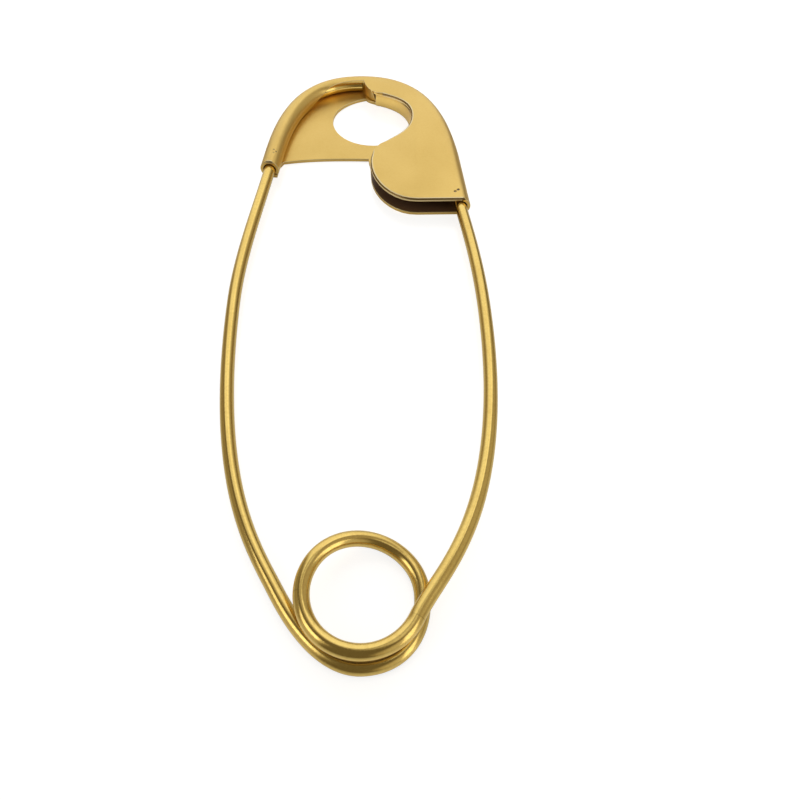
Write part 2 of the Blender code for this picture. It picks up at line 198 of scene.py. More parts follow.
class Shading:
    """Short calls for building a node tree."""

    def __init__(self, tree: bpy.types.NodeTree) -> None:
        """Keep the tree that nodes are added to."""
        self.tree = tree

    def node(self, kind: str, **settings: object) -> bpy.types.Node:
        """Add a node and set its properties and input defaults.

        Args:
            kind: Type name of the node.
            **settings: Property names and values, or input_ and the socket's index.

        Returns:
            The new node.
        """
        made = self.tree.nodes.new(kind)
        for title, value in settings.items():
            if title.startswith("input_"):
                made.inputs[int(title.removeprefix("input_"))].default_value = value
            else:
                setattr(made, title, value)
        return made

    def link(self, source: bpy.types.NodeSocket, target: bpy.types.NodeSocket) -> None:
        """Join one socket to another."""
        self.tree.links.new(source, target)

    def math(self, operation: str, first: object, second: object) -> bpy.types.NodeSocket:
        """Add a math node.

        Args:
            operation: What it works out.
            first: First socket or number.
            second: Second socket or number.

        Returns:
            Its result.
        """
        made = self.node("ShaderNodeMath", operation=operation)
        for socket, value in zip(made.inputs, (first, second)):
            if isinstance(value, (int, float)):
                socket.default_value = value
            else:
                self.link(value, socket)
        return made.outputs[0]

    def mix(self, factor: object, first: object, second: object) -> bpy.types.NodeSocket:
        """Add a colour mix.

        Args:
            factor: Share of the second colour, as a socket or a number.
            first: First colour or its socket.
            second: Second colour or its socket.

        Returns:
            The mixed colour.
        """
        made = self.node("ShaderNodeMix", data_type="RGBA")
        for index, value in ((0, factor), (6, first), (7, second)):
            if isinstance(value, bpy.types.NodeSocket):
                self.link(value, made.inputs[index])
            else:
                made.inputs[index].default_value = value
        return made.outputs[2]

    def ramp(self, value: object, low: float, high: float) -> bpy.types.NodeSocket:
        """Add a smooth step from 0 to 1.

        Args:
            value: The socket that is stepped.
            low: Its value where the step starts.
            high: Its value where the step ends.

        Returns:
            The step.
        """
        made = self.node("ShaderNodeMapRange", interpolation_type="SMOOTHSTEP")
        made.inputs[1].default_value = low
        made.inputs[2].default_value = high
        self.link(value, made.inputs[0])
        return made.outputs[0]


def hairline_group() -> bpy.types.NodeTree:
    """Build the fine scratches: thin lines in two directions.

    Returns:
        The group, with the lines as a mask and as a height.
    """
    tree = new_group(
        "fine hairlines",
        {"Scale": 900.0, "Stretch": 0.04, "Turn": 0.6, "Threshold": 0.62},
        {"Mask": "NodeSocketFloat", "Height": "NodeSocketFloat"},
    )
    make = Shading(tree)
    inputs, outputs = tree.nodes["inputs"], tree.nodes["outputs"]
    place = make.node("ShaderNodeTexCoord")
    masks = []
    for sign in (1.0, -1.0):
        turn = make.node("ShaderNodeVectorRotate", rotation_type="Z_AXIS")
        make.link(place.outputs["Object"], turn.inputs["Vector"])
        make.link(make.math("MULTIPLY", inputs.outputs["Turn"], sign), turn.inputs["Angle"])
        split = make.node("ShaderNodeSeparateXYZ")
        make.link(turn.outputs[0], split.inputs[0])
        join = make.node("ShaderNodeCombineXYZ")
        make.link(split.outputs[0], join.inputs[0])
        for axis in (1, 2):
            along = make.math("MULTIPLY", split.outputs[axis], inputs.outputs["Stretch"])
            make.link(along, join.inputs[axis])
        noise = make.node("ShaderNodeTexNoise")
        noise.inputs["Detail"].default_value = LINE_DETAIL
        make.link(inputs.outputs["Scale"], noise.inputs["Scale"])
        make.link(join.outputs[0], noise.inputs["Vector"])
        above = make.math("SUBTRACT", noise.outputs[0], inputs.outputs["Threshold"])
        masks.append(make.math("MULTIPLY", make.math("MAXIMUM", above, 0.0), LINE_CONTRAST))
    total = make.math("MINIMUM", make.math("ADD", *masks), 1.0)
    make.link(total, outputs.inputs["Mask"])
    make.link(make.math("SUBTRACT", 1.0, total), outputs.inputs["Height"])
    return tree


def tarnish_group() -> bpy.types.NodeTree:
    """Build the soft cloudiness of handled brass.

    Returns:
        The group, with slow clouds, a fine speckle and both as a stain.
    """
    tree = new_group(
        "handled brass",
        {"Cloud scale": 55.0, "Speckle scale": 1400.0, "Speckle share": 0.5},
        {"Clouds": "NodeSocketFloat", "Speckle": "NodeSocketFloat", "Stain": "NodeSocketFloat"},
    )
    make = Shading(tree)
    inputs, outputs = tree.nodes["inputs"], tree.nodes["outputs"]
    place = make.node("ShaderNodeTexCoord")
    clouds = make.node("ShaderNodeTexNoise")
    clouds.inputs["Detail"].default_value = CLOUD_DETAIL
    make.link(inputs.outputs["Cloud scale"], clouds.inputs["Scale"])
    make.link(place.outputs["Object"], clouds.inputs["Vector"])
    speckle = make.node("ShaderNodeTexNoise")
    speckle.inputs["Detail"].default_value = SPECKLE_DETAIL
    make.link(inputs.outputs["Speckle scale"], speckle.inputs["Scale"])
    make.link(place.outputs["Object"], speckle.inputs["Vector"])
    slow = make.ramp(clouds.outputs[0], *CLOUD_LIMITS)
    fine = make.ramp(speckle.outputs[0], *SPECKLE_LIMITS)
    share = inputs.outputs["Speckle share"]
    rest = make.math("MULTIPLY", slow, make.math("SUBTRACT", 1.0, share))
    make.link(slow, outputs.inputs["Clouds"])
    make.link(fine, outputs.inputs["Speckle"])
    make.link(make.math("ADD", make.math("MULTIPLY", fine, share), rest), outputs.inputs["Stain"])
    return tree


def pit_group() -> bpy.types.NodeTree:
    """Build one small punched pit.

    Returns:
        The group, with a mask that is full in the pit's middle, on the upper side alone.
    """
    tree = new_group(
        "punched pit",
        {"X": 0.0, "Y": 0.0, "Size": 0.0005, "Strength": 1.0, "Above": 0.004},
        {"Mask": "NodeSocketFloat"},
    )
    make = Shading(tree)
    inputs, outputs = tree.nodes["inputs"], tree.nodes["outputs"]
    place = make.node("ShaderNodeTexCoord")
    split = make.node("ShaderNodeSeparateXYZ")
    make.link(place.outputs["Object"], split.inputs[0])
    across = make.math("SUBTRACT", split.outputs[0], inputs.outputs["X"])
    along = make.math("SUBTRACT", split.outputs[1], inputs.outputs["Y"])
    squares = (make.math("MULTIPLY", offset, offset) for offset in (across, along))
    away = make.math("SQRT", make.math("ADD", *squares), 0.0)
    share = make.math("DIVIDE", away, inputs.outputs["Size"])
    dip = make.math("SUBTRACT", 1.0, make.ramp(share, *PIT_LIMITS))
    upper = make.math("GREATER_THAN", split.outputs[2], inputs.outputs["Above"])
    full = make.math("MULTIPLY", upper, inputs.outputs["Strength"])
    make.link(make.math("MULTIPLY", dip, full), outputs.inputs["Mask"])
    return tree


def shade_place_group() -> bpy.types.NodeTree:
    """Build the place of the painted shade.

    Returns:
        The group, with a mask that starts at a left line and ends at a far line.
    """
    tree = new_group(
        "place of the painted shade",
        {"Left": 0.0, "Right": 0.001, "Near": 0.0, "Far": 0.01},
        {"Mask": "NodeSocketFloat"},
    )
    make = Shading(tree)
    inputs, outputs = tree.nodes["inputs"], tree.nodes["outputs"]
    place = make.node("ShaderNodeTexCoord")
    split = make.node("ShaderNodeSeparateXYZ")
    make.link(place.outputs["Object"], split.inputs[0])
    sides = []
    for axis, low, high in ((0, "Left", "Right"), (1, "Near", "Far")):
        step = make.node("ShaderNodeMapRange", interpolation_type="SMOOTHSTEP")
        make.link(split.outputs[axis], step.inputs[0])
        make.link(inputs.outputs[low], step.inputs[1])
        make.link(inputs.outputs[high], step.inputs[2])
        sides.append(step.outputs[0])
    near = make.math("SUBTRACT", 1.0, sides[1])
    make.link(make.math("MULTIPLY", sides[0], near), outputs.inputs["Mask"])
    return tree


@dataclass(frozen=True)
class Groups:
    """The shared shader node groups.

    Args:
        hairlines: Fine scratches.
        tarnish: Clouds and speckle.
        pit: One punched pit.
        place: The place of the painted shade.
    """

    hairlines: bpy.types.NodeTree
    tarnish: bpy.types.NodeTree
    pit: bpy.types.NodeTree
    place: bpy.types.NodeTree

    @classmethod
    def build(cls) -> "Groups":
        """Build every group once."""
        return cls(hairline_group(), tarnish_group(), pit_group(), shade_place_group())


@dataclass(frozen=True)
class Pit:
    """One small punched pit in the upper side of the sheet.

    Args:
        x: Its place across the pin.
        y: Its place along the pin.
        size: Its radius.
        strength: How deep and dark it is, where 1 is full.
    """

    x: float
    y: float
    size: float
    strength: float


@dataclass(frozen=True)
class BrassFinish:
    """A polished brass finish with clouds, hairlines and a painted shade in closed places.

    Args:
        name: Name of the material.
        face: Colour of the clean metal.
        clouded: Colour where handling has dulled it.
        roughness: Roughness of the clean metal.
        scattered: Share of the light that its film of handling scatters.
        brushed: How far brush lines across the pin stretch the reflections, from 0 to 1.
        dulled: Roughness added where it is dulled.
        hairline: Depth of the hairlines.
        stretch: Length of the hairlines against their width.
        turn: Half the angle between the two directions of hairlines.
        wave: Depth of the fine waves that drawing or rolling leaves.
        shade_and_pit_colour: Colour of the painted shade in closed places, which the punched pits
            also take.
        shade_reach: How far a place looks for metal around it, to paint its shade.
        shade_open: How open a place is where the painted shade is full, and where it ends.
        shade_own: Whether only the piece itself closes a place in and shades it.
        shade_place: Left, right, near and far limits of the place of the painted shade.
        bump_depth: Height that a hairline or wave of depth 1 has.
        shade_samples: Rays that look for metal around a place.
    """

    name: str
    face: tuple[float, float, float]
    clouded: tuple[float, float, float]
    roughness: float
    scattered: float
    brushed: float
    dulled: float
    hairline: float
    stretch: float
    turn: float
    wave: float
    shade_and_pit_colour: tuple[float, float, float]
    shade_reach: float
    shade_open: tuple[float, float]
    shade_own: bool
    shade_place: tuple[float, float, float, float]
    bump_depth: float
    shade_samples: int

    def shade_and_pit_mask(self, make: Shading, groups: Groups) -> bpy.types.NodeSocket:
        """Add the mask of the painted shade, full in the closed places that little light reaches.

        Args:
            make: The node tree of the material.
            groups: The shared groups.

        Returns:
            The mask.
        """
        # Painted shade: the base colour darkens where metal closes a place in, as ambient
        # occlusion measures it.
        around = make.node("ShaderNodeAmbientOcclusion", only_local=self.shade_own)
        around.samples = self.shade_samples
        around.inputs["Distance"].default_value = self.shade_reach
        closed = make.math("SUBTRACT", 1.0, make.ramp(around.outputs["AO"], *self.shade_open))
        place = make.node("ShaderNodeGroup", node_tree=groups.place)
        for socket, value in zip(place.inputs, self.shade_place):
            socket.default_value = value
        return make.math("MULTIPLY", closed, place.outputs["Mask"])

    def clean(self, make: Shading, stain: bpy.types.NodeSocket) -> bpy.types.NodeSocket:
        """Add the colour of the metal without its grime, from the mask of its stains."""
        return make.mix(stain, (*self.face, 1.0), (*self.clouded, 1.0))

    def material(self, groups: Groups) -> bpy.types.Material:
        """Build the material.

        Args:
            groups: The shared groups.

        Returns:
            The material, ready for a piece.
        """
        material = bpy.data.materials.new(self.name)
        material.use_nodes = True
        make = Shading(material.node_tree)
        shader = material.node_tree.nodes["Principled BSDF"]
        lines = make.node("ShaderNodeGroup", node_tree=groups.hairlines)
        lines.inputs["Stretch"].default_value = self.stretch
        lines.inputs["Turn"].default_value = self.turn
        handled = make.node("ShaderNodeGroup", node_tree=groups.tarnish)
        clean, shade_and_pit_mask = self.clean(make, handled.outputs["Stain"]), self.shade_and_pit_mask(make, groups)
        # Painted shade, and the sheet's darkened pits, mixed into the base colour and taken off
        # the metal.
        make.link(make.mix(shade_and_pit_mask, clean, (*self.shade_and_pit_colour, 1.0)), shader.inputs["Base Color"])
        bare = make.math("MULTIPLY", make.math("SUBTRACT", 1.0, shade_and_pit_mask), 1.0 - self.scattered)
        make.link(bare, shader.inputs["Metallic"])
        rough = make.math("MULTIPLY", handled.outputs["Clouds"], self.dulled)
        speckle_dulls = self.dulled * SPECKLE_DULLS_SHARE
        speckled = make.math("MULTIPLY", handled.outputs["Speckle"], speckle_dulls)
        scratched = make.math("MULTIPLY", lines.outputs["Mask"], self.dulled)
        dull = make.math("ADD", make.math("ADD", rough, speckled), scratched)
        make.link(make.math("ADD", dull, self.roughness), shader.inputs["Roughness"])
        bump = make.node("ShaderNodeBump")
        bump.inputs["Strength"].default_value = 1.0
        bump.inputs["Distance"].default_value = self.bump_depth
        scratches = make.math("MULTIPLY", lines.outputs["Height"], self.hairline)
        waves = make.math("MULTIPLY", handled.outputs["Speckle"], self.wave)
        make.link(make.math("ADD", scratches, waves), bump.inputs["Height"])
        make.link(bump.outputs[0], shader.inputs["Normal"])
        self.dent(make, groups, bump)
        if self.brushed:
            shader.inputs["Anisotropic"].default_value = self.brushed
            along = make.node(
                "ShaderNodeVectorTransform", convert_from="OBJECT", convert_to="WORLD"
            )
            along.inputs[0].default_value = (0.0, 1.0, 0.0)
            make.link(along.outputs[0], shader.inputs["Tangent"])
        return material

    def dent(self, make: Shading, groups: Groups, bump: bpy.types.Node) -> None:
        """Add nothing: the plain wire has no punched marks."""


@dataclass(frozen=True)
class SheetFinish(BrassFinish):
    """The finish of the sheet, with worn edges lit by a painted highlight, a painted shade on the
    rolled edge and two punched marks.

    Args:
        worn_highlight: Colour of the worn edges, lightened further as a painted highlight.
        tarnish: Colour of the painted shade on the steep middle of the rolled edge.
        marks: The small pits that make the punched marks.
        mark_depth: Depth of a full pit.
    """

    worn_highlight: tuple[float, float, float]
    tarnish: tuple[float, float, float]
    marks: tuple[Pit, ...]
    mark_depth: float

    def clean(self, make: Shading, stain: bpy.types.NodeSocket) -> bpy.types.NodeSocket:
        """Add the colour of the metal and its edges, with their painted highlight and painted
        shade, before the painted shade of closed places.

        Args:
            make: The node tree of the material.
            stain: The mask of its stains.

        Returns:
            The colour.
        """
        colour = super().clean(make, stain)
        # The worn edges get a painted highlight, and the rolled edge's steep middle a painted
        # shade.
        for title, edge in ((WORN_HIGHLIGHT, self.worn_highlight), (ROLLED_SHADE, self.tarnish)):
            mask = make.node("ShaderNodeAttribute", attribute_name=title)
            colour = make.mix(mask.outputs["Fac"], colour, (*edge, 1.0))
        return colour

    def pits(self, make: Shading, groups: Groups) -> bpy.types.NodeSocket:
        """Add the punched pits.

        Args:
            make: The node tree of the material.
            groups: The shared groups.

        Returns:
            The mask of every pit.
        """
        total: object = 0.0
        for mark in self.marks:
            pit = make.node("ShaderNodeGroup", node_tree=groups.pit)
            values = {"X": mark.x, "Y": mark.y, "Size": mark.size, "Strength": mark.strength}
            for title, value in values.items():
                pit.inputs[title].default_value = value
            total = make.math("MAXIMUM", pit.outputs["Mask"], total)
        return total

    def shade_and_pit_mask(self, make: Shading, groups: Groups) -> bpy.types.NodeSocket:
        """Add the mask of the painted shade, together with the darkened punched pits."""
        return make.math("MAXIMUM", self.pits(make, groups), super().shade_and_pit_mask(make, groups))

    def dent(self, make: Shading, groups: Groups, bump: bpy.types.Node) -> None:
        """Press the punched pits into the surface, under the hairlines.

        Args:
            make: The node tree of the material.
            groups: The shared groups.
            bump: The bump of the hairlines.
        """
        pressed = make.node("ShaderNodeBump", invert=True)
        pressed.inputs["Strength"].default_value = 1.0
        pressed.inputs["Distance"].default_value = self.mark_depth
        make.link(self.pits(make, groups), pressed.inputs["Height"])
        make.link(pressed.outputs[0], bump.inputs["Normal"])


SHEET_FINISH = SheetFinish(
    name="polished sheet brass",
    face=(0.95, 0.665, 0.205),
    clouded=(0.92, 0.63, 0.18),
    roughness=0.31,
    scattered=0.12,
    brushed=0.7,
    dulled=0.04,
    hairline=0.3,
    stretch=0.05,
    turn=0.5,
    wave=0.1,
    # Painted shade: a dark colour in the pocket under the front plate, where the sheet closes
    # itself in.
    shade_and_pit_colour=(0.16, 0.085, 0.045),
    shade_reach=0.02,
    shade_open=(0.57, 0.85),
    shade_own=True,
    shade_place=(0.0036, 0.0044, 0.056, 0.066),
    bump_depth=0.00001,
    shade_samples=8,
    # A painted highlight on the worn edges.
    worn_highlight=(1.0, 0.83, 0.47),
    # A painted shade on the rolled edge's steep middle.
    tarnish=(0.30, 0.17, 0.05),
    marks=(
        Pit(-0.0281, 0.0627, 0.0005, 0.45),
        Pit(-0.0273, 0.0620, 0.0004, 0.6),
        Pit(-0.0281, 0.0612, 0.0005, 0.35),
        Pit(0.0319, 0.0405, 0.0006, 1.0),
        Pit(0.0309, 0.0397, 0.0006, 0.8),
    ),
    mark_depth=0.0002,
)
WIRE_FINISH = BrassFinish(
    name="drawn brass wire",
    face=(0.94, 0.68, 0.205),
    clouded=(0.83, 0.57, 0.16),
    roughness=0.15,
    scattered=0.0,
    brushed=0.0,
    dulled=0.05,
    hairline=0.3,
    stretch=0.03,
    turn=0.1,
    wave=0.15,
    # Painted shade: a dark colour where the coil's turns touch each other and the floor.
    shade_and_pit_colour=(0.05, 0.03, 0.015),
    shade_reach=0.004,
    shade_open=(0.28, 0.60),
    shade_own=False,
    shade_place=(-0.9, -0.8, -0.078, -0.066),
    bump_depth=0.00001,
    shade_samples=8,
)


@dataclass
class Clasp:
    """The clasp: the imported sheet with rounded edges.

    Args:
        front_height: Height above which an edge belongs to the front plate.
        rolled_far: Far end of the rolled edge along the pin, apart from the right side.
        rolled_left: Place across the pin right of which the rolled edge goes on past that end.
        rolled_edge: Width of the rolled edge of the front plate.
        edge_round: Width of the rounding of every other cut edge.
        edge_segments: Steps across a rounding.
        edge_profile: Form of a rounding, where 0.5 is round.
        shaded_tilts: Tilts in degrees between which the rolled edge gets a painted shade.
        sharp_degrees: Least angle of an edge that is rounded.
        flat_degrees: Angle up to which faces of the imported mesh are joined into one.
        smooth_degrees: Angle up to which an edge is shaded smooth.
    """

    front_height: float = 0.0060
    rolled_far: float = 0.0620
    rolled_left: float = 0.0080
    rolled_edge: float = 0.0008
    edge_round: float = 0.00012
    edge_segments: int = 6
    edge_profile: float = 0.5
    shaded_tilts: tuple[float, float] = (30.0, 60.0)
    sharp_degrees: float = 40.0
    flat_degrees: float = 1.0
    smooth_degrees: float = 32.0

    def build(self, source: bpy.types.Object, material: bpy.types.Material) -> bpy.types.Object:
        """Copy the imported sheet, merge it, round its edges and dress it.

        Args:
            source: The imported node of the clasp.
            material: The finish of the sheet.

        Returns:
            The finished piece.
        """
        piece = bpy.data.objects.new("clasp_sheet", source.data.copy())
        bpy.context.scene.collection.objects.link(piece)
        piece.data.materials.clear()
        piece.data.materials.append(material)
        make_active(piece)
        bpy.ops.object.mode_set(mode="EDIT")
        bpy.ops.mesh.select_all(action="SELECT")
        bpy.ops.mesh.remove_doubles(threshold=MERGE)
        bpy.ops.mesh.customdata_custom_splitnormals_clear()
        bpy.ops.mesh.select_all(action="SELECT")
        bpy.ops.mesh.dissolve_limited(angle_limit=math.radians(self.flat_degrees))
        bpy.ops.mesh.select_mode(type="EDGE")
        bpy.ops.object.mode_set(mode="OBJECT")
        for title in (WORN_HIGHLIGHT, ROLLED_SHADE):
            piece.data.attributes.new(title, "FLOAT", "FACE")
        self.round_edges(piece, self.on_front, self.rolled_edge)
        self.mark_rolled_shade(piece)
        self.round_edges(piece, self.off_floor, self.edge_round)
        bpy.ops.object.shade_smooth_by_angle(angle=math.radians(self.smooth_degrees))
        return piece

    def mark_rolled_shade(self, piece: bpy.types.Object) -> None:
        """Mark the steep middle of the rolled edge, which is still selected, for a painted shade.

        Args:
            piece: The sheet.
        """
        high, low = (math.cos(math.radians(tilt)) for tilt in self.shaded_tilts)
        for polygon in piece.data.polygons:
            if polygon.select and low < polygon.normal.z < high:
                piece.data.attributes[ROLLED_SHADE].data[polygon.index].value = 1.0

    def on_front(self, place: Vector) -> bool:
        """Return whether a place is on the front plate's rolled edge, away from the channel."""
        away = place.y < self.rolled_far or place.x > self.rolled_left
        return place.z > self.front_height and away

    def off_floor(self, place: Vector) -> bool:
        """Return whether a place is above the floor."""
        return place.z > 0.0

    def round_edges(
        self, piece: bpy.types.Object, chosen: Callable[[Vector], bool], width: float
    ) -> None:
        """Round the sharp edges of one region and mark them as worn, for a painted highlight.

        Args:
            piece: The sheet.
            chosen: Whether a place is in the region.
            width: Width of the rounding.
        """
        bpy.ops.object.mode_set(mode="EDIT")
        bpy.ops.mesh.select_all(action="DESELECT")
        bpy.ops.mesh.edges_select_sharp(sharpness=math.radians(self.sharp_degrees))
        mesh = bmesh.from_edit_mesh(piece.data)
        for edge in mesh.edges:
            edge.select_set(edge.select and all(chosen(vert.co) for vert in edge.verts))
        mesh.select_flush_mode()
        bmesh.update_edit_mesh(piece.data)
        bpy.ops.mesh.bevel(
            offset=width, segments=self.edge_segments, profile=self.edge_profile, affect="EDGES"
        )
        bpy.ops.object.mode_set(mode="OBJECT")
        for polygon in piece.data.polygons:
            if polygon.select:
                piece.data.attributes[WORN_HIGHLIGHT].data[polygon.index].value = 1.0


@dataclass
class Wire:
    """The wire of the pin: one line from its end in the clasp round the coil to its point.

    Its places are measured from the middle of the coil, and the pin lies along +Y.

    Args:
        diameter: Thickness of the wire.
        clasp_height: Height of the clasp, which holds the wire at half of it.
        clasp_foot: Place of the clasp's foot along the pin.
        clasp_length: Length of the clasp.
        tube_end_shares: Outer edge of the clasp at its tube's end, in shares of its length.
        crown_shares: Outer edge at the crown, in the same shares.
        mouth_shares: Outer edge where the pin arm goes in, in the same shares.
        left_spread: How far the fixed arm reaches to the left.
        right_spread: How far the pin arm reaches to the right.
        left_bulge_shares: Widest place of the fixed arm, in shares of the clasp's foot.
        right_bulge_shares: Widest place of the pin arm, in the same shares.
        left_head_reach_share: Reach of the fixed arm's bend into the tube, in the same shares.
        right_head_reach_share: Reach of the pin arm's bend into the mouth, in the same shares.
        right_start_reach_share: Reach of its bend out of the coil, in the same shares.
        coil_radius: Radius of the coil's middle line.
        coil_start: Angle on the coil at which the pin arm leaves it, in degrees.
        coil_pitch: Height from the lower pass of the coil to the upper one.
        fall_shares: Where the coil falls to its lower pass, in shares of a turn from its foot.
        coil_side_reach_share: Reach of the bend at the coil's side, in shares of its radius.
        coil_foot_shares: Nearest place of the outer pass, in the same shares.
        coil_leaves_shares: Place where the fixed arm leaves the coil, in the same shares.
        split_degrees: Angle on the coil at which its upper turn meets the fixed arm's piece.
        fixed_end_x: Place across the pin of the wire's end inside the clasp.
        point_depth: How far the point reaches beyond the clasp's foot.
        taper: Length of the point.
        tip_share: Radius of the tip, in shares of the wire's radius.
        bend_reach: A length beside the coil; not used.
        bend_heading_share: A share of the pin arm; not used.
        rim_steps: Steps along each half of the clasp's outer edge.
        arm_steps: Steps along each half of an arm.
        coil_steps: Steps round the first turn of the coil.
        resolution: How finely the wire is rounded.
        smooth_degrees: Angle up to which an edge is shaded smooth.
    """

    diameter: float = 0.0037
    clasp_height: float = 0.0063
    clasp_foot: float = 0.1269
    clasp_length: float = 0.0714
    tube_end_shares: Knot = Knot(-0.473, 0.288, 83.0, after=0.266)
    crown_shares: Knot = Knot(0.015, 0.999, -3.0, before=0.417, after=0.476)
    mouth_shares: Knot = Knot(0.483, 0.0, -83.7, before=0.307)
    left_spread: float = 0.0369
    right_spread: float = 0.0345
    left_bulge_shares: Knot = Knot(0.0, 0.696, 90.0, before=0.463, after=0.150)
    right_bulge_shares: Knot = Knot(0.0, 0.642, 90.0, before=0.515, after=0.146)
    left_head_reach_share: float = 0.150
    right_head_reach_share: float = 0.102
    right_start_reach_share: float = 0.109
    coil_radius: float = 0.0131
    coil_start: float = -28.0
    coil_pitch: float = 0.0045
    fall_shares: tuple[float, float] = (0.34, 0.66)
    coil_side_reach_share: float = 0.711
    coil_foot_shares: Knot = Knot(-0.025, -1.133, 180.0, before=0.612, after=0.650)
    coil_leaves_shares: Knot = Knot(-1.478, 0.168, 118.8, before=0.612, after=1.047)
    split_degrees: float = -180.0
    fixed_end_x: float = 0.0002
    point_depth: float = 0.0309
    taper: float = 0.0130
    tip_share: float = 0.10
    bend_reach: float = 0.034
    bend_heading_share: float = 0.25
    rim_steps: int = 48
    arm_steps: int = 60
    coil_steps: int = 120
    resolution: int = 8
    smooth_degrees: float = 40.0

    @property
    def radius(self) -> float:
        """Half the diameter."""
        return self.diameter / 2

    @property
    def shift(self) -> Vector:
        """The move from the middle of the coil to the pin's own origin.

        Returns:
            The move.
        """
        foot = self.coil_foot_shares.y * self.coil_radius - self.radius
        y = (self.clasp_foot + self.clasp_length + foot) / 2
        return Vector(((self.left_spread - self.right_spread) / 2, -y, 0.0))

    def on_clasp(self, shares: Knot) -> Knot:
        """Return a knot given in shares of the clasp's length as a knot of lengths."""
        return shares.sized(self.clasp_length, self.clasp_foot)

    def on_arm(self, shares: Knot, x: float) -> Knot:
        """Return a knot given in shares of the clasp's foot, at this place across the pin."""
        return replace(shares.sized(self.clasp_foot), x=x)

    def rim(self) -> tuple[list[Vector], list[Vector]]:
        """Work out the outer edge of the clasp.

        Returns:
            Its points, and the direction to the inside at each.
        """
        crown = self.on_clasp(self.crown_shares)
        points = bend(self.on_clasp(self.tube_end_shares), crown, self.rim_steps)
        points += bend(crown, self.on_clasp(self.mouth_shares), self.rim_steps)[1:]
        sides = []
        for index in range(len(points)):
            ahead = points[min(index + 1, len(points) - 1)]
            along = (ahead - points[max(index - 1, 0)]).normalized()
            sides.append(Vector((along.y, -along.x)))
        sides[-1] = Vector((-1.0, 0.0))
        return points, sides

    def held(self, rows: list[int]) -> list[Vector]:
        """Return the middle line of the wire inside the fold at these rows of the rim."""
        points, sides = self.rim()
        return [points[row] + sides[row] * self.clasp_height / 2 for row in rows]

    def risen(self, plan: list[Vector], low: float, high: float) -> list[Vector]:
        """Give plan points a height that changes evenly along the line.

        Args:
            plan: The points of the plan.
            low: Height of the first point.
            high: Height of the last point.

        Returns:
            The points in space.
        """
        lengths = [0.0]
        for here, there in zip(plan, plan[1:]):
            lengths.append(lengths[-1] + (there - here).length)
        return [Vector((*p, low + (high - low) * s / lengths[-1])) for p, s in zip(plan, lengths)]

    def coil_line(self) -> list[Vector]:
        """Work out the first turn of the coil, from the pin arm to its side.

        Returns:
            Its middle line.
        """
        sweep = 360.0 + self.coil_start
        start, end = self.fall_shares
        line = []
        for step in range(self.coil_steps + 1):
            angle = self.coil_start - sweep * step / self.coil_steps
            fallen = smooth_step(((-90.0 - angle) / 360.0 - start) / (end - start))
            plan = direction(angle) * self.coil_radius
            line.append(Vector((*plan, self.radius + self.coil_pitch * (1 - fallen))))
        return line

    def upper_line(self) -> list[Vector]:
        """Return the upper pass of the coil, which winds as the pin arm swings."""
        share = (self.coil_start - self.split_degrees) / (360.0 + self.coil_start)
        return self.coil_line()[: round(share * self.coil_steps) + 1]

    def fixed_line(self) -> list[Vector]:
        """Work out the rest of the coil and the fixed arm up to its end inside the clasp.

        Returns:
            Their middle line.
        """
        line = self.coil_line()[len(self.upper_line()) - 1 :]
        foot = self.coil_foot_shares.sized(self.coil_radius)
        leaves = self.coil_leaves_shares.sized(self.coil_radius)
        reach = self.coil_side_reach_share * self.coil_radius
        lower = bend(Knot(line[-1].x, line[-1].y, -90.0, after=reach), foot, self.arm_steps // 2)
        lower += bend(foot, leaves, self.arm_steps // 2)[1:]
        line += [Vector((*plan, self.radius)) for plan in lower[1:]]
        points, _ = self.rim()
        rows = [row for row in range(self.rim_steps) if points[row].x < self.fixed_end_x]
        *held, beyond = self.held(rows + [rows[-1] + 1])
        share = (self.fixed_end_x - held[-1].x) / (beyond.x - held[-1].x)
        held.append(held[-1].lerp(beyond, share))
        bulge = self.on_arm(self.left_bulge_shares, -self.left_spread)
        reach = self.left_head_reach_share * self.clasp_foot
        head = Knot(*held[0], self.tube_end_shares.heading, before=reach)
        free = bend(leaves, bulge, self.arm_steps)
        free += bend(bulge, head, self.arm_steps)[1:]
        line += self.risen(free, self.radius, self.clasp_height / 2)[1:]
        return line + [Vector((*plan, self.clasp_height / 2)) for plan in held[1:]]

    def pin_line(self) -> list[Vector]:
        """Work out the pin arm, from the coil to its point inside the clasp.

        Returns:
            Its middle line.
        """
        points, _ = self.rim()
        last = len(points) - 1
        point_y = self.clasp_foot + self.point_depth
        rows = [row for row in range(last, self.rim_steps, -1) if points[row].y < point_y]
        held = self.held(rows)
        plan = direction(self.coil_start) * self.coil_radius
        leaving = self.right_start_reach_share * self.clasp_foot
        arriving = self.right_head_reach_share * self.clasp_foot
        start = Knot(plan.x, plan.y, self.coil_start + 90.0, after=leaving)
        head = Knot(*held[0], self.mouth_shares.heading + 180.0, before=arriving)
        bulge = self.on_arm(self.right_bulge_shares, self.right_spread)
        free = bend(start, bulge, self.arm_steps)
        free += bend(bulge, head, self.arm_steps)[1:]
        line = self.risen(free, self.radius + self.coil_pitch, self.clasp_height / 2)
        return line + [Vector((*plan, self.clasp_height / 2)) for plan in held[1:]]

